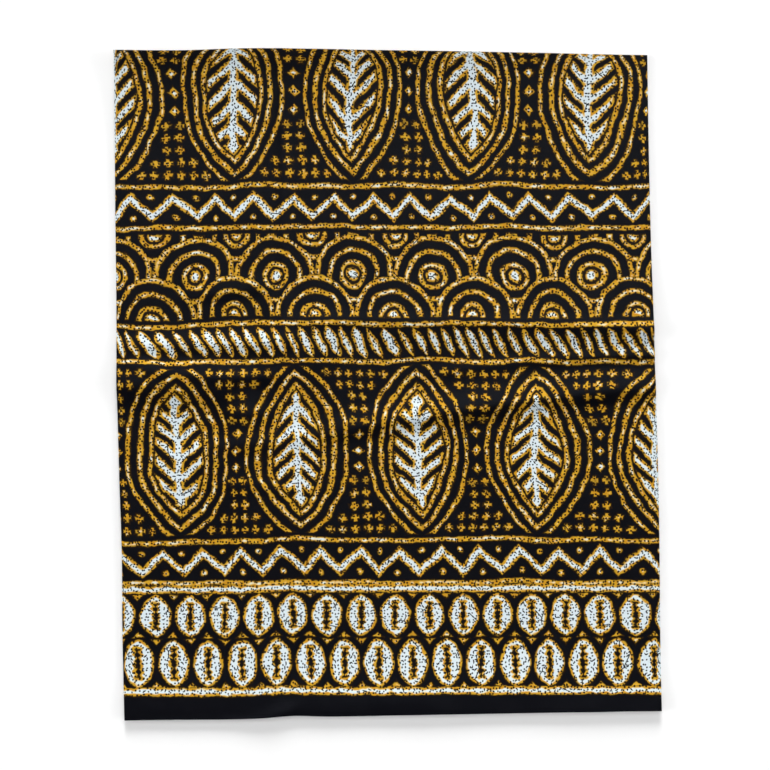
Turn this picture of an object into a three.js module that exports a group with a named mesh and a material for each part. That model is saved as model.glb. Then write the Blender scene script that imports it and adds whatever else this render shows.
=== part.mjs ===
// A fat quarter of wax-printed cotton, laid out flat: one cut panel, single layer.
//
// Millimetres. X runs along the selvedge, Y from the selvedge to the opposite cut edge and
// Z up. The origin is under the middle of the panel, on the surface that it rests on.
// The underside is flat where it rests, and the soft creases stand up from the top.
import * as THREE from 'three';

// --- Driving dimensions ---------------------------------------------------------------------

const CUT_WIDTH = 457; // half a yard along the selvedge
const CUT_LENGTH = 566; // from the selvedge to the opposite cut edge
const WALL = 1.2; // one layer, thicker than the real cotton so that it is a sound solid

// The panel was cut by hand and laid a little out of square.
// Each corner's slip from the true rectangle.
const CORNER_SLIPS = {
  nearLeft: { x: 3.1, y: -4.1 },
  nearRight: { x: 5.7, y: 4.1 },
  farLeft: { x: -5.5, y: 2.8 },
  farRight: { x: -6.5, y: -0.6 },
};

// How far each edge bows outwards, at even steps between its corners.
const EDGE_BOWS = {
  near: [-0.1, 0.2, 0.5, 0, -1.6, -0.5, -0.3, -0.4, -0.4, -0.4, -0.4, -0.4, -0.4, -0.2, -0.3],
  far: [0.1, 2.2, 2.2, 1.6, 1.3, 0.8, 0.3],
  left: [0.8, 0.3, 1.6, 2.3, 1.7, 1.5, 0.9],
  right: [0.4, 1.3, 1.5, 1.0, 0.2, -0.4, -0.4],
};

// Soft creases. One that runs 'across' follows X, with its crest as Y at its start, middle and
// end. One that runs 'along' follows Y, with its crest as X. Its spread is given towards its near
// or left side, and towards its other side. A crease that leaves the panel starts or ends beyond
// its edge.
const CREASES = [
  // the long upper wave, highest towards the right edge, and the shoulder that it stands on
  { runs: 'across', start: -110, end: 300, crest: [54.5, 53, 43.5], rise: [1.6, 1.4, 3.2], spread: [5, 5.5] },
  { runs: 'across', start: -110, end: 290, crest: [47, 45, 47], rise: [1.1, 2.3, 3.2], spread: [10.5, 45] },
  // the long lower wave, which climbs to the right: gentle above, steep below
  { runs: 'across', start: -90, end: 300, crest: [-48, -16, 4.3], rise: [1, 3.6, 0.6], spread: [7.5, 11.5] },
  // a shallow ripple between the long waves
  { runs: 'across', start: 0, end: 300, crest: [3, 22.8, 24.2], rise: [0.5, 1.4, 3], spread: [4.5, 4.5] },
  // three waves left of the fold line
  { runs: 'across', start: -250, end: -66, crest: [30.5, 34.7, 37], rise: [1.7, 2.1, 1.8], spread: [6, 9] },
  { runs: 'across', start: -240, end: -80, crest: [22, 7.8, 7.5], rise: [1.1, 2.2, 1.7], spread: [5, 7.5] },
  { runs: 'across', start: -290, end: -116, crest: [2, 0, -3], rise: [3, 3.8, 2.6], spread: [15, 18] },
  // shallow ripples round them, and a faint swell over the fold line
  { runs: 'across', start: -115, end: -35, crest: [36, 36, 36], rise: [1.2, 2.4, 1.2], spread: [42, 30] },
  { runs: 'across', start: -185, end: -45, crest: [-57, -50, -42], rise: [0.7, 1.2, 0.8], spread: [8, 6] },
  { runs: 'across', start: -195, end: -130, crest: [-66, -66, -66], rise: [0.5, 0.8, 0.5], spread: [10, 8] },
  { runs: 'across', start: -180, end: -95, crest: [74, 80, 86], rise: [0.5, 1.2, 1], spread: [6, 9] },
  // the old fold line, sharp near the far edge and fading down the panel
  { runs: 'along', start: 20, end: 330, crest: [-88, -89.5, -90.5], rise: [0.3, 0.8, 1.1], spread: [4, 4] },
  // the far edge curls up for most of its run, and the selvedge lifts a little
  { runs: 'across', start: -340, end: 250, crest: [293, 293, 291], rise: [1.8, 1.7, 0.5], spread: [17, 10] },
  { runs: 'across', start: -340, end: 260, crest: [300, 300, 298], rise: [2.2, 2.6, 0.8], spread: [62, 48] },
  { runs: 'across', start: -400, end: 400, crest: [-291, -291, -291], rise: [2, 2, 2], spread: [20, 40] },
  // puckers in the selvedge
  { runs: 'across', start: -165, end: -66, crest: [-299, -289, -270], rise: [0.8, 1.9, 0.5], spread: [6, 6] },
  { runs: 'across', start: -78, end: 56, crest: [-274, -271, -272], rise: [0.5, 0.9, 0.5], spread: [6, 7] },
];
const CREASE_FADE = 0.18; // share of a crease's run over which each end dies away

// Grid stations, measured along the cut, close together where creases cross them.
const COLUMN_ZONES = [
  { until: 108, step: 18 },
  { until: 132, step: 6 },
  { until: 156, step: 4.8 },
  { until: CUT_WIDTH, step: 16.7 },
];
const ROW_ZONES = [
  { until: 24, step: 6 },
  { until: 192, step: 24 },
  { until: 376, step: 4.6 },
  { until: 542, step: 20.8 },
  { until: CUT_LENGTH, step: 6 },
];

const PRINTED_COTTON = { color: 0x6b5836, roughness: 0.9, metalness: 0.0 };

// --- Shape ----------------------------------------------------------------------------------

/** Fractions 0 to 1 of the whole run, for stations spaced by the zones' steps. */
function stations(zones) {
  const total = zones[zones.length - 1].until;
  const marks = [0];
  let from = 0;
  for (const { until, step } of zones) {
    const count = Math.round((until - from) / step);
    for (let k = 1; k <= count; k += 1) {
      marks.push((from + ((until - from) * k) / count) / total);
    }
    from = until;
  }
  return marks;
}

/** The four corners of the panel as it lies. */
function panelCorners() {
  const corner = (sideX, sideY, slip) =>
    new THREE.Vector2((sideX * CUT_WIDTH) / 2 + slip.x, (sideY * CUT_LENGTH) / 2 + slip.y);
  return {
    nearLeft: corner(-1, -1, CORNER_SLIPS.nearLeft),
    nearRight: corner(1, -1, CORNER_SLIPS.nearRight),
    farLeft: corner(-1, 1, CORNER_SLIPS.farLeft),
    farRight: corner(1, 1, CORNER_SLIPS.farRight),
  };
}

/** An edge from one corner to the next, bowed along the outward direction. */
function bowedEdge(from, to, bows, outward) {
  const points = bows.map((bow, k) =>
    from.clone().lerp(to, (k + 1) / (bows.length + 1)).addScaledVector(outward, bow));
  return new THREE.SplineCurve([from, ...points, to]);
}

/** The panel's four edges as curves. */
function panelEdges(corners) {
  const { nearLeft, nearRight, farLeft, farRight } = corners;
  return {
    near: bowedEdge(nearLeft, nearRight, EDGE_BOWS.near, new THREE.Vector2(0, -1)),
    far: bowedEdge(farLeft, farRight, EDGE_BOWS.far, new THREE.Vector2(0, 1)),
    left: bowedEdge(nearLeft, farLeft, EDGE_BOWS.left, new THREE.Vector2(-1, 0)),
    right: bowedEdge(nearRight, farRight, EDGE_BOWS.right, new THREE.Vector2(1, 0)),
  };
}

/** A place on the panel: u runs along the selvedge and v away from it, blended between edges. */
function panelPoint(corners, edges, u, v) {
  return new THREE.Vector2()
    .addScaledVector(edges.near.getPoint(u), 1 - v)
    .addScaledVector(edges.far.getPoint(u), v)
    .addScaledVector(edges.left.getPoint(v), 1 - u)
    .addScaledVector(edges.right.getPoint(v), u)
    .addScaledVector(corners.nearLeft, -(1 - u) * (1 - v))
    .addScaledVector(corners.nearRight, -u * (1 - v))
    .addScaledVector(corners.farLeft, -(1 - u) * v)
    .addScaledVector(corners.farRight, -u * v);
}

/** The smooth value through a start, a middle and an end. */
function through([start, middle, end], t) {
  return start * (1 - t) * (1 - 2 * t) + middle * 4 * t * (1 - t) + end * t * (2 * t - 1);
}

/** How far one crease lifts the cloth at a place. */
function creaseLift(crease, { x, y }) {
  const [along, across] = crease.runs === 'across' ? [x, y] : [y, x];
  const t = (along - crease.start) / (crease.end - crease.start);
  if (t <= 0 || t >= 1) return 0;
  const fade = THREE.MathUtils.smoothstep(Math.min(t, 1 - t), 0, CREASE_FADE);
  const aside = across - through(crease.crest, t);
  const offset = aside / crease.spread[aside < 0 ? 0 : 1];
  return fade * through(crease.rise, t) * Math.exp(-offset * offset);
}

/** Height of the panel's top face at a place. */
function topHeight(place) {
  return CREASES.reduce((height, crease) => height + creaseLift(crease, place), WALL);
}

/** The closed wall: a creased top, a flat underside and the cut edges between them. */
function panelGeometry() {
  const corners = panelCorners();
  const edges = panelEdges(corners);
  const columns = stations(COLUMN_ZONES);
  const rows = stations(ROW_ZONES);
  const across = columns.length;
  const skin = across * rows.length;
  const places = rows.flatMap((v) => columns.map((u) => panelPoint(corners, edges, u, v)));

  const positions = [
    ...places.flatMap((place) => [place.x, place.y, topHeight(place)]),
    ...places.flatMap((place) => [place.x, place.y, 0]),
  ];

  const faces = [];
  for (let j = 0; j + 1 < rows.length; j += 1) {
    for (let i = 0; i + 1 < across; i += 1) {
      const a = j * across + i;
      const b = a + 1;
      const c = b + across;
      const d = a + across;
      faces.push(a, b, c, a, c, d);
      faces.push(skin + a, skin + c, skin + b, skin + a, skin + d, skin + c);
    }
  }

  const rim = [];
  for (let i = 0; i < across; i += 1) rim.push(i);
  for (let j = 1; j < rows.length; j += 1) rim.push(j * across + across - 1);
  for (let i = across - 2; i >= 0; i -= 1) rim.push((rows.length - 1) * across + i);
  for (let j = rows.length - 2; j > 0; j -= 1) rim.push(j * across);
  rim.forEach((a, k) => {
    const b = rim[(k + 1) % rim.length];
    faces.push(skin + a, skin + b, b, skin + a, b, a);
  });

  const geometry = new THREE.BufferGeometry();
  geometry.setAttribute('position', new THREE.Float32BufferAttribute(positions, 3));
  geometry.setIndex(faces);
  geometry.computeBoundingBox();
  const middle = geometry.boundingBox.getCenter(new THREE.Vector3());
  geometry.translate(-middle.x, -middle.y, 0);
  geometry.computeVertexNormals();
  return geometry;
}

// --- Part -----------------------------------------------------------------------------------

const clothPanel = new THREE.Mesh(
  panelGeometry(),
  new THREE.MeshStandardMaterial(PRINTED_COTTON),
);
clothPanel.name = 'cloth_panel';

const fatQuarter = new THREE.Group();
fatQuarter.add(clothPanel);

export default fatQuarter;
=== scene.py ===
"""A fat quarter of wax-printed cotton laid flat: its cloth, its print, a floor, light and a camera."""

import logging
import math
from dataclasses import dataclass, field
from enum import Enum
from typing import Any, Mapping, Protocol, Sequence, Union

import bmesh
import bpy
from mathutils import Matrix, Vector, noise


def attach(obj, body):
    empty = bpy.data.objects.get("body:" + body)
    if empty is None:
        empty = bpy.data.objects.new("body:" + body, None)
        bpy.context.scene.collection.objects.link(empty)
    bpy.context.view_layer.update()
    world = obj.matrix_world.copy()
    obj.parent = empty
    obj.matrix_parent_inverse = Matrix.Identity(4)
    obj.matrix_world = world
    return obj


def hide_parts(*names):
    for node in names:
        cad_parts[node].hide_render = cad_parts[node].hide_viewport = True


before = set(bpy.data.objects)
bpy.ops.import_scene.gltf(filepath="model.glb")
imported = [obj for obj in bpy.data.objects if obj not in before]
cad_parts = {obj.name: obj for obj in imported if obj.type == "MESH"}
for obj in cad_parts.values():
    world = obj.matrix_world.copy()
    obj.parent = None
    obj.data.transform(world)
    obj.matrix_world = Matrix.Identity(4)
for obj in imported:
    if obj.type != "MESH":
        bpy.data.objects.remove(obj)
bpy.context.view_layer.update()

LOG = logging.getLogger("fat_quarter")
MM = 0.001  # metres in a millimetre
Number = Union[float, "Value"]
Colour = tuple[float, float, float, float]
Place = tuple["Value", "Value"]  # along the cloth, and over its selvedge


def dye(red: int, green: int, blue: int) -> Colour:
    """Turns a colour as seen on a screen, 0 to 255, into the linear one that shaders mix.

    Args:
        red, green, blue: the colour's parts.

    Returns:
        The linear colour, opaque.
    """
    def linear(part: int) -> float:
        """One part of the colour, made linear."""
        share = part / 255
        return share / 12.92 if share <= 0.04045 else ((share + 0.055) / 1.055) ** 2.4

    return (linear(red), linear(green), linear(blue), 1.0)


# --- Shader arithmetic ------------------------------------------------------------------------


@dataclass(frozen=True)
class Value:
    """A number worked out in a material's nodes, so that shader maths reads as arithmetic."""

    pen: "Pen"
    socket: bpy.types.NodeSocket

    def __add__(self, other: Number) -> "Value":
        """Sum."""
        return self.pen.maths("ADD", self, other)

    __radd__ = __add__

    def __sub__(self, other: Number) -> "Value":
        """Difference."""
        return self.pen.maths("SUBTRACT", self, other)

    def __rsub__(self, other: Number) -> "Value":
        """Difference, with this value taken away."""
        return self.pen.maths("SUBTRACT", other, self)

    def __mul__(self, other: Number) -> "Value":
        """Product."""
        return self.pen.maths("MULTIPLY", self, other)

    __rmul__ = __mul__

    def __truediv__(self, other: Number) -> "Value":
        """Quotient."""
        return self.pen.maths("DIVIDE", self, other)

    def __mod__(self, other: Number) -> "Value":
        """What is left over, never negative."""
        return self.pen.maths("FLOORED_MODULO", self, other)

    def __neg__(self) -> "Value":
        """The value turned negative."""
        return self.pen.maths("MULTIPLY", self, -1.0)

    def __abs__(self) -> "Value":
        """The value without its sign."""
        return self.pen.maths("ABSOLUTE", self)


class Pen:
    """Adds nodes to one material, in the order in which they are worked out."""

    def __init__(self, name: str) -> None:
        """Starts an empty material.

        Args:
            name: the material's name.
        """
        self.material = bpy.data.materials.new(name)
        self.material.use_nodes = True
        self.tree = self.material.node_tree
        self.tree.nodes.clear()

    def node(
        self,
        kind: str,
        settings: Mapping[str, Any] | None = None,
        inputs: Mapping[Union[str, int], Any] | None = None,
    ) -> bpy.types.Node:
        """Adds a node.

        Args:
            kind: the node's type.
            settings: its own settings, which are set first.
            inputs: a value or a link for each named or numbered socket.

        Returns:
            The new node.
        """
        made = self.tree.nodes.new(kind)
        for name, value in (settings or {}).items():
            setattr(made, name, value)
        for key, value in (inputs or {}).items():
            source = value.socket if isinstance(value, Value) else value
            if isinstance(source, bpy.types.NodeSocket):
                self.tree.links.new(source, made.inputs[key])
            else:
                made.inputs[key].default_value = source
        return made

    def maths(self, operation: str, *values: Number) -> Value:
        """One Math node.

        Args:
            operation: what it does.
            values: its one to three numbers.

        Returns:
            The result.
        """
        made = self.node("ShaderNodeMath", {"operation": operation}, dict(enumerate(values)))
        return Value(self, made.outputs[0])

    def least(self, first: Number, second: Number) -> Value:
        """The smaller of two."""
        return self.maths("MINIMUM", first, second)

    def most(self, first: Number, second: Number) -> Value:
        """The larger of two."""
        return self.maths("MAXIMUM", first, second)

    def merged(self, first: Number, second: Number, reach: float) -> Value:
        """The larger of two depths, fleshed out over a reach where the strokes meet."""
        return self.maths("SMOOTH_MAX", first, second, reach)

    def length(self, across: Value, up: Value) -> Value:
        """How far a place is from the origin."""
        return self.maths("SQRT", self.maths("MULTIPLY_ADD", across, across, up * up))

    def repeat(self, value: Value, pitch: float) -> Value:
        """Folds a coordinate into one repeat, measured from the repeat's middle."""
        return value % pitch - pitch / 2

    def index(self, value: Value, pitch: float) -> Value:
        """The number of the repeat that a coordinate lies in."""
        return self.maths("FLOOR", value / pitch)

    def ramp(self, value: Value, low: float, high: float) -> Value:
        """A smooth step from 0 to 1.

        Args:
            value: the number that is stepped.
            low, high: where the step starts and ends.

        Returns:
            The step.
        """
        made = self.node(
            "ShaderNodeMapRange",
            {"interpolation_type": "SMOOTHSTEP"},
            {"Value": value, "From Min": low, "From Max": high},
        )
        return Value(self, made.outputs["Result"])

    def grain(self, place: bpy.types.NodeSocket, size: float, detail: float = 0.0) -> bpy.types.Node:
        """A two-dimensional noise node.

        Args:
            place: where it is read.
            size: the size of its blotches, in the units of place.
            detail: octaves of finer noise on top.

        Returns:
            The noise node.
        """
        return self.node(
            "ShaderNodeTexNoise",
            {"noise_dimensions": "2D"},
            {"Vector": place, "Scale": 1 / size, "Detail": detail},
        )

    def blotch(self, place: bpy.types.NodeSocket, size: float, swing: float) -> Value:
        """Noise as a number that swings about 0."""
        return (Value(self, self.grain(place, size).outputs[0]) - 0.5) * swing

    def chance(self, number: Value) -> Value:
        """A number from 0 to 1 that is fixed by chance for each whole number."""
        made = self.node("ShaderNodeTexWhiteNoise", {"noise_dimensions": "1D"}, {"W": number})
        return Value(self, made.outputs["Value"])

    def vector(self, operation: str, *values: Any) -> bpy.types.NodeSocket:
        """One Vector Math node's vector.

        Args:
            operation: what it does.
            values: its one to three vectors.

        Returns:
            The result's socket.
        """
        made = self.node("ShaderNodeVectorMath", {"operation": operation}, dict(enumerate(values)))
        return made.outputs[0]

    def parts(self, place: bpy.types.NodeSocket) -> tuple[Value, Value]:
        """The first two parts of a vector."""
        made = self.node("ShaderNodeSeparateXYZ", inputs={0: place})
        return Value(self, made.outputs[0]), Value(self, made.outputs[1])

    def mix(self, share: Number, first: Any, second: Any) -> bpy.types.NodeSocket:
        """Mixes two colours.

        Args:
            share: how much of the second colour shows.
            first, second: the colours, or links to them.

        Returns:
            The mixed colour's socket.
        """
        made = self.node("ShaderNodeMix", {"data_type": "RGBA"}, {0: share, 6: first, 7: second})
        return made.outputs[2]


# --- The print --------------------------------------------------------------------------------
#
# Each motif gives a depth, in millimetres: how far inside a wax line a place is. Below 0 is the
# black ground. A line's rim is ochre, and where it is thick enough its core stays white. A thin
# line's depth is cut off at THIN, so that it stays ochre.

THIN = 1.75
DIAMOND = math.sqrt(0.5)  # turns the sum of both steps to a diamond's side into the way across it


def bulge(half_width: float, half_height: float) -> float:
    """Radius of the two arcs that bound a leaf or a shell."""
    return (half_width**2 + half_height**2) / (2 * half_width)


class Motif(Protocol):
    """What fills a row: a repeating figure with a depth at each place."""

    def depth(self, pen: Pen, x: Value, y: Value) -> Value:
        """Depth at a place along the row and over its middle."""


@dataclass(frozen=True)
class LeafRow:
    """Large upright leaves with a rib and veins, beads between them and plus signs round them."""

    pitch: float = 101.5
    half_width: float = 35.0
    half_height: float = 68.0
    line: float = 2.3
    inner_share: float = 0.9  # the inner line's weight against the outline's
    inner_line_at: float = 10.6
    heart_at: float = 13.8
    rib: float = 4.4
    vein_pitch: float = 15.8
    vein: float = 5.9
    vein_lean: float = 0.9
    vein_taper: float = 0.045
    vein_flesh: float = 1.6  # how far veins are fleshed out where they meet the rib
    edge_flesh: float = 1.2  # and where they meet the lines
    echo_at: float = 7.0
    echo: float = 1.95
    bead_pitch: float = 14.0
    bead: float = 4.6
    plus_pitch: float = 10.15
    plus_from: float = 13.5
    plus_arm: tuple[float, float] = (1.6, 3.7)  # half an arm's width, and its reach

    def inside(self, pen: Pen, side: Value, y: Value) -> Value:
        """How far inside the leaf's outline a place is: two arcs that meet in points.

        Args:
            pen: adds the nodes.
            side: distance from the leaf's middle line.
            y: height over the leaf's middle.

        Returns:
            The distance, negative outside.
        """
        radius = bulge(self.half_width, self.half_height)
        return radius - pen.length(side + (radius - self.half_width), y)

    def leaf(self, pen: Pen, x: Value, side: Value, y: Value, inside: Value) -> Value:
        """Depth in the leaf's double outline, rib and veins.

        Args:
            pen: adds the nodes.
            x: place along the row.
            side: distance from the leaf's middle line.
            y: height over the leaf's middle.
            inside: distance inside the outline.

        Returns:
            The depth.
        """
        outline = self.line - abs(inside - self.line)
        inner = self.line * self.inner_share - abs(inside - self.inner_line_at)
        depth = pen.least(pen.most(outline, inner), THIN)
        lean = (pen.index(x, self.pitch) % 2.0) * (2 * self.vein_lean) - self.vein_lean
        across = abs(pen.repeat(y + side * lean, self.vein_pitch))
        slope = 1 / math.hypot(1, self.vein_lean)
        veins = (self.vein - across - side * self.vein_taper) * slope
        heart = pen.merged(self.rib - side, veins, self.vein_flesh)
        return pen.merged(depth, pen.least(heart, inside - self.heart_at), self.edge_flesh)

    def beads(self, pen: Pen, side: Value, y: Value) -> Value:
        """Depth in the string of three diamonds between two leaves.

        Args:
            pen: adds the nodes.
            side: distance from the leaf's middle line.
            y: height over the leaf's middle.

        Returns:
            The depth.
        """
        step = pen.maths("ROUND", y / self.bead_pitch)
        held = pen.least(pen.most(step, -1.0), 1.0)
        up = abs(y - held * self.bead_pitch)
        return (side - (self.pitch / 2 - self.bead) - up) * DIAMOND

    def plusses(self, pen: Pen, x: Value, y: Value) -> Value:
        """Depth in the plus signs, whole ones only, that fill the wide gaps between leaves.

        Args:
            pen: adds the nodes.
            x: place along the row.
            y: height over the leaf's middle.

        Returns:
            The depth.
        """
        dx = pen.repeat(x, self.plus_pitch)
        dy = pen.repeat(y, self.plus_pitch)
        middle_side = abs(pen.repeat(x - dx, self.pitch))
        room = -self.inside(pen, middle_side, y - dy) - self.plus_from
        dx, dy = abs(dx), abs(dy)
        half, reach = self.plus_arm
        sign = pen.least(half - pen.least(dx, dy), reach - pen.most(dx, dy))
        return pen.least(sign, room)

    def depth(self, pen: Pen, x: Value, y: Value) -> Value:
        """Depth in the whole row.

        Args:
            pen: adds the nodes.
            x: place along the row.
            y: height over the row's middle.

        Returns:
            The depth.
        """
        side = abs(pen.repeat(x, self.pitch))
        inside = self.inside(pen, side, y)
        depth = self.leaf(pen, x, side, y, inside)
        depth = pen.most(depth, pen.least(self.echo - abs(inside + self.echo_at), THIN))
        depth = pen.most(depth, self.beads(pen, side, y))
        return pen.most(depth, self.plusses(pen, x, y))


@dataclass(frozen=True)
class ScaleRow:
    """Overlapping fish scales, each of rings round a white heart."""

    pitch: float = 203.0 / 3
    rise: float = 34.0
    ring_pitch: float = 11.0
    ring: float = 2.25
    heart: float = 5.4

    def rings(self, pen: Pen, away: Value) -> Value:
        """Depth in one scale's rings and heart.

        Args:
            pen: adds the nodes.
            away: distance from the scale's middle.

        Returns:
            The depth.
        """
        outer = self.pitch / 2 - self.ring
        lines = self.ring - abs(pen.repeat(away - (outer - self.ring_pitch / 2), self.ring_pitch))
        return pen.most(pen.least(lines, THIN), self.heart - away)

    def depth(self, pen: Pen, x: Value, y: Value) -> Value:
        """Depth in three layers of scales, the lowest in front.

        Args:
            pen: adds the nodes.
            x: place along the row.
            y: height over the row's middle.

        Returns:
            The depth.
        """
        even = pen.repeat(x, self.pitch)
        odd = pen.repeat(x + self.pitch / 2, self.pitch)
        back = pen.length(even, y - self.rise)
        for across, base in ((odd, 0.0), (even, -self.rise)):
            away = pen.length(across, y - base)
            front = pen.maths("LESS_THAN", away, self.pitch / 2)
            back = back + front * (away - back)
        return self.rings(pen, back)


@dataclass(frozen=True)
class BarRow:
    """Slanted bars of uneven weight, pointed at both ends."""

    pitch: float = 203.0 / 17
    slant: float = 0.5
    thinnest: float = 3.3
    weight: float = 2.4
    reach: float = 13.0

    def depth(self, pen: Pen, x: Value, y: Value) -> Value:
        """Depth in the row's bars.

        Args:
            pen: adds the nodes.
            x: place along the row.
            y: height over the row's middle.

        Returns:
            The depth.
        """
        along = x + y * self.slant
        half = self.thinnest + pen.chance(pen.index(along, self.pitch)) * self.weight
        end = abs(y) / self.reach
        half = half * (1.0 - end * end * end)
        return (half - abs(pen.repeat(along, self.pitch))) / math.hypot(1, self.slant)


@dataclass(frozen=True)
class ZigzagRow:
    """A thick zigzag with a dot in each of its bays."""

    pitch: float = 203.0 / 6
    swing: float = 8.0
    half: float = 5.3
    dot: float = 2.8
    dot_at: float = 8.6

    def depth(self, pen: Pen, x: Value, y: Value) -> Value:
        """Depth in the zigzag and its dots.

        Args:
            pen: adds the nodes.
            x: place along the row.
            y: height over the row's middle.

        Returns:
            The depth.
        """
        side = abs(pen.repeat(x, self.pitch))
        slope = 4 * self.swing / self.pitch
        line = (self.half - abs(y + self.swing - side * slope)) / math.hypot(1, slope)
        upper = self.dot - pen.length(side, y - self.dot_at)
        lower = self.dot - pen.length(self.pitch / 2 - side, y + self.dot_at)
        return pen.most(line, pen.most(upper, lower))


@dataclass(frozen=True)
class ShellRow:
    """Upright cowrie shells with a toothed slit, and a diamond between neighbours."""

    pitch: float = 29.0
    half_width: float = 13.2
    half_height: float = 18.4
    slit: float = 1.1
    slit_reach: float = 10.5
    tooth: float = 0.8
    tooth_pitch: float = 4.8
    diamond: float = 5.0

    def depth(self, pen: Pen, x: Value, y: Value) -> Value:
        """Depth in the shells and diamonds.

        Args:
            pen: adds the nodes.
            x: place along the row.
            y: height over the row's middle.

        Returns:
            The depth.
        """
        side = abs(pen.repeat(x, self.pitch))
        high = abs(y)
        radius = bulge(self.half_width, self.half_height)
        body = radius - pen.length(side + (radius - self.half_width), y)
        teeth = pen.maths("SINE", high * (2 * math.pi / self.tooth_pitch)) * self.tooth
        slit = pen.most(side - self.slit - teeth, high - self.slit_reach)
        shell = pen.least(body, slit)
        corner = (self.pitch / 2 - side) + abs(high - self.half_height)
        return pen.most(shell, (self.diamond - corner) * DIAMOND)


@dataclass(frozen=True)
class Register:
    """One row of motifs: the heights it fills over the selvedge, and its motif."""

    low: float
    high: float
    margin: float  # kept black inside each of its rules
    motif: Motif
    shift: float = 0.0

    def depth(self, pen: Pen, x: Value, y: Value) -> Value:
        """Depth in the register's motif, kept inside its rules.

        Args:
            pen: adds the nodes.
            x: place along the cloth.
            y: height over the start of the repeat.

        Returns:
            The depth.
        """
        middle = (self.low + self.high) / 2
        up = y - middle
        edge = (self.high - self.low) / 2 - self.margin - abs(up)
        return pen.least(self.motif.depth(pen, x + self.shift, up), edge)


@dataclass(frozen=True)
class PrintLayout:
    """Where the rows of the print lie, in millimetres over the selvedge's edge."""

    field_start: float = 115.6
    field_repeat: float = 300.0
    field_slip: float = 50.75  # each repeat of the field is set over sideways by this much
    field: tuple[Register, ...] = (
        Register(0, 35, 3.6, ZigzagRow()),
        Register(35, 187, 5.5, LeafRow()),
        Register(187, 218, 3.0, BarRow()),
        Register(218, 300, 5.6, ScaleRow()),
    )
    border: tuple[Register, ...] = (
        Register(31.4, 69.0, 0.6, ShellRow()),
        Register(69.0, 106.6, 0.6, ShellRow(), shift=14.5),
    )
    rules: tuple[tuple[float, float], ...] = ((29.0, 3.5), (110.2, 3.6))  # height, half weight
    field_rule: float = 2.3  # half the weight of the rules between the field's rows

    def depth(self, pen: Pen, loose: Place, steady: Place) -> Value:
        """Depth in the whole print.

        Args:
            pen: adds the nodes.
            loose: place in the freely drawn field, along the cloth and over its selvedge.
            steady: the same place in the steadily drawn border.

        Returns:
            The depth.
        """
        x, y = loose
        over = y - self.field_start
        turn = pen.index(over, self.field_repeat)
        up = over - turn * self.field_repeat
        along = x + turn * self.field_slip
        depth = self.field_rule - abs(pen.repeat(over + self.field_repeat / 2, self.field_repeat))
        for row in self.field:
            depth = pen.most(depth, self.field_rule - abs(up - row.low))
        depth = pen.least(depth, THIN)
        for row in self.field:
            depth = pen.most(depth, row.depth(pen, along, up))
        depth = pen.least(depth, over + self.field_rule)
        x, y = steady
        for at, half in self.rules:
            depth = pen.most(depth, half - abs(y - at))
        for row in self.border:
            depth = pen.most(depth, row.depth(pen, x, y))
        return depth


@dataclass(frozen=True)
class MarkSize:
    """Half the length or width of a bubble's mark, in millimetres, and what changes it."""

    dot: float  # on ochre
    on_white: float  # what white adds
    luck: float  # what chance adds
    drawn_out: float  # what it adds to be one of the rods on white

    def at(self, white: Value, luck: Value, drawn: Value) -> Value:
        """The half size of one mark."""
        return self.dot + white * self.on_white + luck * self.luck + drawn * self.drawn_out


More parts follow.
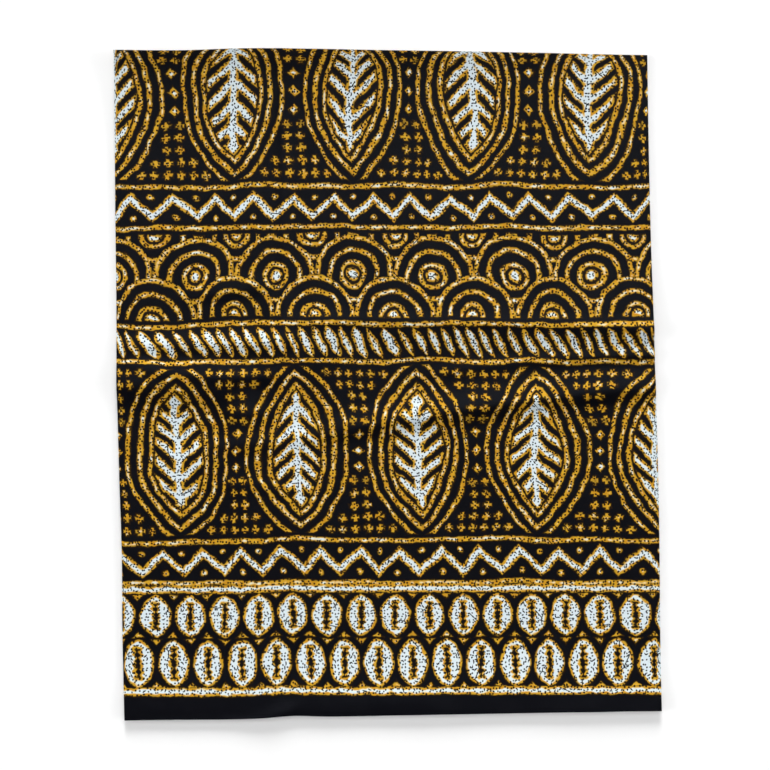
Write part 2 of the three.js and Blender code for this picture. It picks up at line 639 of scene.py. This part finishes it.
@dataclass(frozen=True)
class WaxPrint:
    """The printed cotton's finish: dyes, wax bubbles and cracks, weave and sheen.

    A wander is its size and how far it shifts places along and up. A blotch is its size and how
    far it swings. All lengths are in millimetres.
    """

    black: Colour = dye(8, 8, 13)
    black_worn: Colour = dye(11, 11, 16)
    bleed: Colour = dye(40, 25, 2)
    ochre: Colour = dye(207, 159, 40)
    ochre_deep: Colour = dye(194, 139, 28)
    ochre_olive: Colour = dye(158, 122, 34)
    cream: Colour = dye(226, 206, 154)
    white: Colour = dye(213, 225, 231)
    bubble_on_white: Colour = dye(14, 20, 26)
    bubble_on_ochre: Colour = dye(26, 14, 6)
    soft_edge: float = 0.5  # depth over which the ground gives way to a line
    bleed_reach: float = 1.2  # how far the dye bleeds out from a line
    rim: float = 1.5  # depth at which ochre begins to pale
    core: float = 2.2  # depth at which it has turned to cream
    whitening: tuple[float, float] = (-0.2, 0.6)  # where white sets in, past the core's depth
    edge_blotch: tuple[float, float] = (3.1, 1.0)
    core_blotch: tuple[float, float] = (7.0, 2.2)
    olive_blotch: tuple[float, float] = (6.0, 1.6)
    olive_rim: tuple[float, float] = (0.2, 1.0)  # depths between which the olive rim ends
    mottle_blotch: tuple[float, float] = (5.0, 1.0)
    mottle: tuple[float, float] = (-0.22, 0.2)
    wear_size: float = 26.0
    wear_detail: float = 3.0
    wear: tuple[float, float] = (0.42, 0.72)
    steady: tuple[float, tuple[float, float]] = (11.0, (2.4, 2.0))
    loose: tuple[float, tuple[float, float]] = (48.0, (9.0, 5.0))
    slant: float = 0.0142  # how fast the selvedge's cut edge runs off the print
    slant_loss: float = 4.2e-5  # how much less it does for each millimetre up
    bubble_pitch: float = 2.85
    bubble_scatter: float = 0.8
    bubble_long: MarkSize = MarkSize(0.86, -0.14, 0.22, 0.95)
    bubble_thin: MarkSize = MarkSize(0.8, -0.18, 0.1, -0.12)
    bubble_bend: float = 0.9
    bubble_edge: tuple[float, float] = (0.7, 1.15)
    rod_luck: tuple[float, float] = (0.74, 0.8)  # luck past which a mark on white is drawn out
    crack_pitch: float = 13.0
    crack_edge: tuple[float, float] = (0.2, 0.62)
    crack_blotch: tuple[float, float] = (9.0, 1.0)
    crack_there: tuple[float, float] = (0.08, 0.15)
    yarn: float = 0.36
    yarn_share: float = 0.35
    slub: tuple[float, float] = (0.05, 1.6)  # how often a slub changes along and across its yarn
    relief: float = 0.12
    relief_strength: float = 0.5
    roughness: float = 0.31
    wax_roughness: float = 0.1  # how much rougher the cloth is where it is pale
    specular: float = 0.135
    sheen_tint: Colour = (0.84, 0.92, 1.0, 1.0)
    layout: PrintLayout = field(default_factory=PrintLayout)

    def squared(self, pen: Pen, place: bpy.types.NodeSocket) -> bpy.types.NodeSocket:
        """Lays the print true, where the cut runs a little off it.

        Args:
            pen: adds the nodes.
            place: place on the cut, in millimetres.

        Returns:
            The place in the print.
        """
        x, y = pen.parts(place)
        height = y + x * (self.slant - y * self.slant_loss)
        return pen.node("ShaderNodeCombineXYZ", inputs={0: x, 1: height}).outputs[0]

    @staticmethod
    def wander(
        pen: Pen, place: bpy.types.NodeSocket, size: float, swing: tuple[float, float]
    ) -> bpy.types.NodeSocket:
        """Shifts places a little, so that lines look drawn by hand.

        Args:
            pen: adds the nodes.
            place: place on the cut, in millimetres.
            size: the size of the wander's blotches.
            swing: how far it shifts along and up.

        Returns:
            The shifted place.
        """
        shift = pen.vector("SUBTRACT", pen.grain(place, size).outputs[1], (0.5, 0.5, 0.5))
        return pen.vector("MULTIPLY_ADD", shift, (*swing, 0.0), place)

    def bubbles(self, pen: Pen, place: bpy.types.NodeSocket, white: Value) -> Value:
        """Share of the dark marks that wax bubbles leave: short rods on white, dots on ochre.

        Args:
            pen: adds the nodes.
            place: place on the cut, in millimetres.
            white: share of white at that place.

        Returns:
            The share, 0 to 1.
        """
        cells = pen.node(
            "ShaderNodeTexVoronoi",
            {"voronoi_dimensions": "2D", "feature": "F1"},
            {
                "Vector": place,
                "Scale": 1 / self.bubble_pitch,
                "Randomness": self.bubble_scatter,
            },
        )
        dx, dy = pen.parts(pen.vector("SUBTRACT", place, cells.outputs["Position"]))
        luck = pen.node("ShaderNodeSeparateColor", inputs={0: cells.outputs["Color"]})
        turn, bend, size = (Value(pen, part) for part in luck.outputs)
        angle = turn * (2 * math.pi)
        cosine, sine = pen.maths("COSINE", angle), pen.maths("SINE", angle)
        along = dx * cosine + dy * sine
        aside = dy * cosine - dx * sine
        aside = aside + (bend - 0.5) * along * along * (white * self.bubble_bend)
        drawn = pen.ramp(size, *self.rod_luck) * white
        long = self.bubble_long.at(white, size, drawn)
        thin = self.bubble_thin.at(white, size, drawn)
        reach = pen.length(along / long, aside / thin)
        return 1.0 - pen.ramp(reach, *self.bubble_edge)

    def cracks(self, pen: Pen, place: bpy.types.NodeSocket) -> Value:
        """Share of the fine dark veins where the wax cracked.

        Args:
            pen: adds the nodes.
            place: place on the cut, in millimetres.

        Returns:
            The share, 0 to 1.
        """
        veins = pen.node(
            "ShaderNodeTexVoronoi",
            {"voronoi_dimensions": "2D", "feature": "DISTANCE_TO_EDGE"},
            {"Vector": place, "Scale": 1 / self.crack_pitch, "Randomness": 1.0},
        )
        near = Value(pen, veins.outputs["Distance"]) * self.crack_pitch
        there = pen.ramp(pen.blotch(place, *self.crack_blotch), *self.crack_there)
        return (1.0 - pen.ramp(near, *self.crack_edge)) * there

    def colours(
        self, pen: Pen, place: bpy.types.NodeSocket
    ) -> tuple[bpy.types.NodeSocket, Value]:
        """The print's colours.

        Args:
            pen: adds the nodes.
            place: place on the cut, in millimetres.

        Returns:
            The colour's socket and the share of wax line at each place.
        """
        steady = self.wander(pen, self.squared(pen, place), *self.steady)
        loose = self.wander(pen, steady, *self.loose)
        depth = self.layout.depth(pen, pen.parts(loose), pen.parts(steady))
        depth = depth + pen.blotch(place, *self.edge_blotch)
        line = pen.ramp(depth, 0.0, self.soft_edge)
        core = depth + pen.blotch(place, *self.core_blotch)
        pale = pen.ramp(core, self.rim, self.core)
        white = pen.ramp(core, *(self.core + past for past in self.whitening))
        marks = pen.most(self.bubbles(pen, place, white), self.cracks(pen, place))
        mottle = pen.ramp(pen.blotch(place, *self.mottle_blotch), *self.mottle)
        ochre = pen.mix(mottle, self.ochre_deep, self.ochre)
        olive = 1.0 - pen.ramp(depth + pen.blotch(place, *self.olive_blotch), *self.olive_rim)
        wax = pen.mix(pale, pen.mix(olive, ochre, self.ochre_olive), self.cream)
        wax = pen.mix(white, wax, self.white)
        mark = pen.mix(white, self.bubble_on_ochre, self.bubble_on_white)
        wax = pen.mix(marks, wax, mark)
        worn = Value(pen, pen.grain(place, self.wear_size, self.wear_detail).outputs[0])
        ground = pen.mix(pen.ramp(worn, *self.wear), self.black, self.black_worn)
        ground = pen.mix(pen.ramp(depth, -self.bleed_reach, 0.0), ground, self.bleed)
        return pen.mix(line, ground, wax), line

    def weave(self, pen: Pen, place: bpy.types.NodeSocket) -> bpy.types.NodeSocket:
        """The cloth's fine relief: yarns over and under, and thicker yarns both ways.

        Args:
            pen: adds the nodes.
            place: place on the cut, in millimetres.

        Returns:
            The normal's socket.
        """
        x, y = pen.parts(place)
        turn = math.pi / self.yarn
        yarns = pen.maths("SINE", x * turn) * pen.maths("SINE", y * turn)
        warp, weft = (
            Value(pen, pen.grain(pen.vector("MULTIPLY", place, stretch), 1.0, 1.0).outputs[0])
            for stretch in ((*self.slub, 1.0), (*reversed(self.slub), 1.0))
        )
        height = yarns * self.yarn_share + (warp + weft)
        bump = pen.node(
            "ShaderNodeBump",
            inputs={
                "Strength": self.relief_strength,
                "Distance": self.relief * MM,
                "Height": height,
            },
        )
        return bump.outputs[0]

    def material(self, cut_map: str) -> bpy.types.Material:
        """Makes the finish.

        Args:
            cut_map: name of the map that holds places on the cut, in millimetres.

        Returns:
            The material.
        """
        pen = Pen("wax_print")
        place = pen.node("ShaderNodeUVMap", {"uv_map": cut_map}).outputs[0]
        colour, line = self.colours(pen, place)
        normal = self.weave(pen, place)
        surface = pen.node(
            "ShaderNodeBsdfPrincipled",
            inputs={
                "Base Color": colour,
                "Roughness": self.roughness + line * self.wax_roughness,
                "Specular IOR Level": self.specular,
                "Specular Tint": self.sheen_tint,
                "Normal": normal,
            },
        )
        pen.node("ShaderNodeOutputMaterial", inputs={"Surface": surface.outputs[0]})
        return pen.material


# --- The cloth --------------------------------------------------------------------------------


class Run(Enum):
    """Which way a crease runs over the panel."""

    ACROSS = "across"
    ALONG = "along"


@dataclass(frozen=True)
class Crease:
    """A soft ridge in the cloth, in millimetres.

    One that runs across follows X, with its crest as Y at its start, middle and end. One that
    runs along follows Y, with its crest as X.
    """

    run: Run
    start: float
    end: float
    crest: tuple[float, float, float]
    rise: tuple[float, float, float]
    spread: tuple[float, float]  # towards its near or left side, and towards its other side
    fade: float = 0.2

    @staticmethod
    def through(values: Sequence[float], t: float) -> float:
        """The smooth value through a start, a middle and an end."""
        start, middle, end = values
        return start * (1 - t) * (1 - 2 * t) + middle * 4 * t * (1 - t) + end * t * (2 * t - 1)

    def lift(self, x: float, y: float) -> float:
        """How far the crease lifts the cloth.

        Args:
            x, y: the place.

        Returns:
            The lift.
        """
        along, aside = (x, y) if self.run is Run.ACROSS else (y, x)
        t = (along - self.start) / (self.end - self.start)
        if not 0 < t < 1:
            return 0.0
        near_end = min(1.0, min(t, 1 - t) / self.fade)
        fade = near_end * near_end * (3 - 2 * near_end)
        offset = aside - self.through(self.crest, t)
        offset /= self.spread[0] if offset < 0 else self.spread[1]
        return fade * self.through(self.rise, t) * math.exp(-offset * offset)


@dataclass(frozen=True)
class Waviness:
    """A faint waviness that no crease accounts for, in millimetres."""

    swing: float
    size: tuple[float, float]  # of its waves, along and up
    layer: float  # where the noise is read in its third direction

    def at(self, x: float, y: float) -> float:
        """How far it swings at a place, either way."""
        wave = noise.noise(Vector((x / self.size[0], y / self.size[1], self.layer)))
        return self.swing * wave


ACROSS, ALONG = Run.ACROSS, Run.ALONG
MAIN_CREASES = (  # run, start, end, crest, rise, spread and, where it isn't the usual one, fade
    # the long upper wave, highest towards the right edge, and the shoulder that it stands on
    Crease(ACROSS, -110, 300, (54.5, 53, 43.5), (1.6, 1.4, 3.2), (5, 5.5), 0.15),
    Crease(ACROSS, -110, 290, (47, 45, 47), (1.1, 2.3, 3.2), (10.5, 45)),
    # the long lower wave, which climbs to the right: gentle above, steep below
    Crease(ACROSS, -90, 300, (-48, -16, 4.3), (1.0, 3.6, 0.6), (7.5, 11.5), 0.15),
    # a shallow ripple between the long waves
    Crease(ACROSS, 0, 300, (3, 22.8, 24.2), (0.5, 1.4, 3.0), (4.5, 4.5)),
    # three waves left of the fold line
    Crease(ACROSS, -250, -66, (30.5, 34.7, 37), (1.7, 2.1, 1.8), (6, 9)),
    Crease(ACROSS, -240, -80, (22, 7.8, 7.5), (1.2, 2.0, 1.7), (5, 7.5)),
    Crease(ACROSS, -290, -116, (2, 0, -3), (3.0, 3.8, 2.6), (15, 18)),
    # shallow ripples round them, and a faint swell over the fold line
    Crease(ACROSS, -115, -35, (36, 36, 36), (1.2, 2.4, 1.2), (42, 30)),
    Crease(ACROSS, -185, -45, (-57, -50, -42), (0.7, 1.2, 0.8), (8, 6)),
    Crease(ACROSS, -195, -130, (-66, -66, -66), (0.5, 0.8, 0.5), (10, 8)),
    Crease(ACROSS, -145, -95, (-24.5, -24.5, -25), (0.6, 0.9, 0.6), (6, 6)),
    Crease(ACROSS, -180, -95, (74, 80, 86), (0.5, 1.2, 1.0), (6, 9)),
    Crease(ACROSS, -225, -60, (-84, -86, -90), (0.4, 0.5, 0.6), (6, 7)),
    # the old fold line, sharp near the far edge and fading down the panel
    Crease(ALONG, 20, 330, (-88, -89.5, -90.5), (0.3, 0.8, 1.1), (4, 4)),
    # the far edge curls up for most of its run
    Crease(ACROSS, -340, 240, (293, 293, 291), (3.3, 3.1, 0.9), (17, 10)),
    Crease(ACROSS, -340, 260, (300, 300, 298), (3.3, 4.5, 1.3), (60, 48)),
    # puckers in the selvedge
    Crease(ACROSS, -165, -66, (-299, -289, -270), (0.8, 1.9, 0.5), (6, 6)),
    Crease(ACROSS, -78, 56, (-274, -271, -272), (0.3, 0.45, 0.3), (7, 8)),
)


@dataclass
class ClothPanel:
    """The cut panel of cotton, in millimetres, with its outline as it was cut and laid."""

    width: float = 457.0
    length: float = 566.0
    thickness: float = 0.4
    step: float = 3.2  # between the threads of the mesh
    unevenness: tuple[Waviness, ...] = (
        Waviness(0.16, (55.0, 34.0), 4.2),
        Waviness(0.05, (70.0, 9.0), 9.7),
    )
    edge_change: Waviness = Waviness(0.35, (90.0, 90.0), 1.3)  # as a share of an edge's lift
    clearance: float = 0.3
    near_rise: tuple[float, float] = (3.3, 46.0)  # how high an edge lifts, and over what reach
    near_roll: tuple[float, float] = (0.3, 2.5)  # how far its last few millimetres roll down
    near_beyond: float = 12.0  # how far outside the near edge its lift would peak
    side_rise: tuple[float, float] = (0.9, 20.0)
    corner_slips: dict[tuple[int, int], tuple[float, float]] = field(
        default_factory=lambda: {
            (0, 0): (3.1, -4.1), (1, 0): (5.7, 4.1), (0, 1): (-5.5, 2.8), (1, 1): (-6.5, -0.6),
        }
    )
    near_bows: tuple[float, ...] = (
        -0.1, 0.2, 0.5, 0.0, -1.6, -0.5, -0.3, -0.4, -0.4, -0.4, -0.4, -0.4, -0.4, -0.2, -0.3,
    )
    far_bows: tuple[float, ...] = (0.1, 2.2, 2.2, 1.6, 1.3, 0.8, 0.3)
    left_bows: tuple[float, ...] = (0.8, 0.3, 1.6, 2.3, 1.7, 1.5, 0.9)
    right_bows: tuple[float, ...] = (0.4, 1.3, 1.5, 1.0, 0.2, -0.4, -0.4)
    creases: tuple[Crease, ...] = MAIN_CREASES
    sharp_from: float = 1.0  # radians between two faces, past which their edge is a hard one
    cut_map: str = "cut"
    bake_map: str = "OFBake"
    bake_margin: float = 0.005

    def corner(self, u: int, v: int) -> Vector:
        """A corner of the panel as it lies, by its side of the cut."""
        slip = self.corner_slips[(u, v)]
        return Vector(((u - 0.5) * self.width + slip[0], (v - 0.5) * self.length + slip[1]))

    @staticmethod
    def bowed(start: Vector, end: Vector, bows: Sequence[float], out: Vector, t: float) -> Vector:
        """A place on an edge that bows outwards.

        Args:
            start, end: the edge's corners.
            bows: how far it bows out at even steps between them.
            out: the outward direction.
            t: how far along the edge, 0 to 1.

        Returns:
            The place.
        """
        count = len(bows) + 1
        bowed = (start.lerp(end, (k + 1) / count) + out * bow for k, bow in enumerate(bows))
        knots = [start, *bowed, end]
        k = min(int(t * count), count - 1)
        w = t * count - k
        a, b, c, d = (knots[min(max(k + n, 0), count)] for n in (-1, 0, 1, 2))
        leave, arrive = (c - a) / 2, (d - b) / 2
        cubic = 2 * (b - c) + leave + arrive
        square = 3 * (c - b) - 2 * leave - arrive
        return ((cubic * w + square) * w + leave) * w + b

    def place(self, u: float, v: float) -> Vector:
        """A place on the panel as it lies, blended between its four edges.

        Args:
            u: share of the way along the selvedge.
            v: share of the way from the selvedge to the far edge.

        Returns:
            The place.
        """
        corner = self.corner
        near = self.bowed(corner(0, 0), corner(1, 0), self.near_bows, Vector((0, -1)), u)
        far = self.bowed(corner(0, 1), corner(1, 1), self.far_bows, Vector((0, 1)), u)
        left = self.bowed(corner(0, 0), corner(0, 1), self.left_bows, Vector((-1, 0)), v)
        right = self.bowed(corner(1, 0), corner(1, 1), self.right_bows, Vector((1, 0)), v)
        ruled = near * (1 - v) + far * v + left * (1 - u) + right * u
        near_corners = corner(0, 0) * (1 - u) + corner(1, 0) * u
        far_corners = corner(0, 1) * (1 - u) + corner(1, 1) * u
        return ruled - near_corners * (1 - v) - far_corners * v

    def lift(self, x: float, y: float) -> float:
        """How far the cloth stands off the surface: its creases and a faint unevenness.

        Args:
            x, y: the place.

        Returns:
            The lift.
        """
        uneven = sum(wave.swing + wave.at(x, y) for wave in self.unevenness)
        inward = y + self.length / 2
        near = self.rise(self.near_rise, inward + self.near_beyond)
        near -= self.rise(self.near_roll, inward)
        side = self.rise(self.side_rise, self.width / 2 - abs(x))
        edges = max(near, side) * (1 + self.edge_change.at(x, y))
        creased = sum(crease.lift(x, y) for crease in self.creases)
        return self.clearance + uneven + edges + creased

    @staticmethod
    def rise(size: tuple[float, float], inward: float) -> float:
        """How far an edge lifts the cloth at a distance inward from it."""
        height, reach = size
        return height * math.exp(-((max(inward, 0.0) / reach) ** 2))

    def shell(self) -> bmesh.types.BMesh:
        """Models the panel as a thin closed shell.

        Returns:
            The shell, in metres, with each vertex's place on the cut in the layer "home".
        """
        bm = bmesh.new()
        bmesh.ops.create_grid(
            bm,
            x_segments=round(self.width / self.step),
            y_segments=round(self.length / self.step),
            size=1.0,
        )
        home = bm.verts.layers.float_vector.new("home")
        for vert in bm.verts:
            u, v = (vert.co.x + 1) / 2, (vert.co.y + 1) / 2
            vert[home] = (u * self.width, v * self.length, 0)
            x, y = self.place(u, v)
            vert.co = Vector((x, y, self.lift(x, y))) * MM
        top = bmesh.ops.extrude_face_region(bm, geom=list(bm.faces), use_keep_orig=True)
        raised = [part for part in top["geom"] if isinstance(part, bmesh.types.BMVert)]
        bmesh.ops.translate(bm, verts=raised, vec=(0, 0, self.thickness * MM))
        bmesh.ops.recalc_face_normals(bm, faces=list(bm.faces))
        return bm

    def lay_maps(self, bm: bmesh.types.BMesh) -> None:
        """Gives each corner its place on the cut, in millimetres, and its place in the bake.

        Args:
            bm: the shell.
        """
        home = bm.verts.layers.float_vector["home"]
        cut = bm.loops.layers.uv.new(self.cut_map)
        bake = bm.loops.layers.uv.new(self.bake_map)
        margin, room = self.bake_margin, 1 - 2 * self.bake_margin
        for face in bm.faces:
            face.smooth = True
            for loop in face.loops:
                x, y, _ = loop.vert[home]
                loop[cut].uv = (x, y)
                loop[bake].uv = (margin + room * x / self.width, margin + room * y / self.length)

    def build(self, finish: WaxPrint) -> bpy.types.Object:
        """Builds and dresses the panel.

        Args:
            finish: the cloth's finish.

        Returns:
            The finished piece.
        """
        bm = self.shell()
        self.lay_maps(bm)
        for edge in bm.edges:
            if len(edge.link_faces) == 2 and edge.calc_face_angle() > self.sharp_from:
                edge.smooth = False
        mesh = bpy.data.meshes.new("printed_cloth")
        bm.to_mesh(mesh)
        bm.free()
        piece = bpy.data.objects.new("printed_cloth", mesh)
        bpy.context.scene.collection.objects.link(piece)
        mesh.materials.append(finish.material(self.cut_map))
        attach(piece, "root")
        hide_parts("cloth_panel")
        return piece


# --- The studio -------------------------------------------------------------------------------


@dataclass(frozen=True)
class Sun:
    """A wide, far light: the side it stands on, its height and its spread, all in degrees."""

    turn: float
    height: float
    spread: float
    strength: float

    def place(self) -> None:
        """Adds the light. It gives shade and shadow, but no glint of its own."""
        light = bpy.data.lights.new("sun", "SUN")
        light.energy = self.strength
        light.angle = math.radians(self.spread)
        lamp = bpy.data.objects.new("sun", light)
        lamp.rotation_euler = (math.radians(self.height - 90), 0, math.radians(self.turn))
        lamp.visible_glossy = False
        bpy.context.scene.collection.objects.link(lamp)


@dataclass
class Studio:
    """A plain pale floor under plain soft light, with a camera straight above, in metres."""

    floor_half: float = 40.0
    floor_cells: int = 4
    floor_drop: float = 0.0002
    floor_colour: Colour = (0.97, 0.97, 0.97, 1.0)
    view_width: float = 0.660
    lens_mm: float = 85.0
    sensor_mm: float = 36.0
    view_middle: tuple[float, float] = (-0.0025, 0.0)
    sky: float = 0.11
    suns: tuple[Sun, ...] = (
        Sun(0.0, 14.0, 20.0, 5.1),
        Sun(90.0, 12.0, 23.0, 1.75),
        Sun(-90.0, 12.0, 23.0, 1.75),
        Sun(90.0, 45.0, 60.0, 0.44),
        Sun(-90.0, 45.0, 60.0, 0.44),
    )
    softbox: tuple[float, float] = (3.4, 5.0)
    softbox_at: tuple[float, float, float] = (0.3, 3.0, 5.0)
    softbox_watts: float = 74.0

    def floor(self) -> None:
        """Lays the floor just under the cloth."""
        cells = self.floor_cells
        bm = bmesh.new()
        bmesh.ops.create_grid(bm, x_segments=cells, y_segments=cells, size=self.floor_half)
        bmesh.ops.translate(bm, verts=list(bm.verts), vec=(0, 0, -self.floor_drop))
        mesh = bpy.data.meshes.new("floor")
        bm.to_mesh(mesh)
        bm.free()
        piece = bpy.data.objects.new("floor", mesh)
        bpy.context.scene.collection.objects.link(piece)
        pen = Pen("pale_floor")
        surface = pen.node(
            "ShaderNodeBsdfPrincipled",
            inputs={"Base Color": self.floor_colour, "Roughness": 0.9, "Specular IOR Level": 0.1},
        )
        pen.node("ShaderNodeOutputMaterial", inputs={"Surface": surface.outputs[0]})
        mesh.materials.append(pen.material)

    def light(self) -> None:
        """Lights the cloth softly from overhead, low beyond its far edge and low on both sides."""
        world = bpy.data.worlds.new("studio")
        world.use_nodes = True
        sky = world.node_tree.nodes["Background"]
        sky.inputs["Color"].default_value = (1.0, 1.0, 1.0, 1.0)
        sky.inputs["Strength"].default_value = self.sky
        bpy.context.scene.world = world
        for sun in self.suns:
            sun.place()
        soft = bpy.data.lights.new("softbox", "AREA")
        soft.shape = "RECTANGLE"
        soft.size, soft.size_y = self.softbox
        soft.energy = self.softbox_watts
        lamp = bpy.data.objects.new("softbox", soft)
        lamp.location = self.softbox_at
        bpy.context.scene.collection.objects.link(lamp)

    def camera(self) -> None:
        """Hangs the camera straight above the cloth."""
        lens = bpy.data.cameras.new("camera")
        lens.lens = self.lens_mm
        lens.sensor_width = self.sensor_mm
        camera = bpy.data.objects.new("camera", lens)
        camera.location = (*self.view_middle, self.view_width * self.lens_mm / self.sensor_mm)
        bpy.context.scene.collection.objects.link(camera)
        bpy.context.scene.camera = camera

    def set_up(self) -> None:
        """Makes the floor, the light and the camera."""
        self.camera()
        self.floor()
        self.light()
        bpy.context.scene.view_settings.view_transform = "Standard"


def main() -> None:
    """Builds the scene, piece by piece, and notes how many faces the cloth has."""
    logging.basicConfig(level=logging.INFO, format="%(name)s: %(message)s")
    Studio().set_up()
    LOG.info("studio set up")
    cloth = ClothPanel().build(WaxPrint())
    LOG.info("%s: %d faces", cloth.name, len(cloth.data.polygons))


if __name__ == "__main__":
    main()
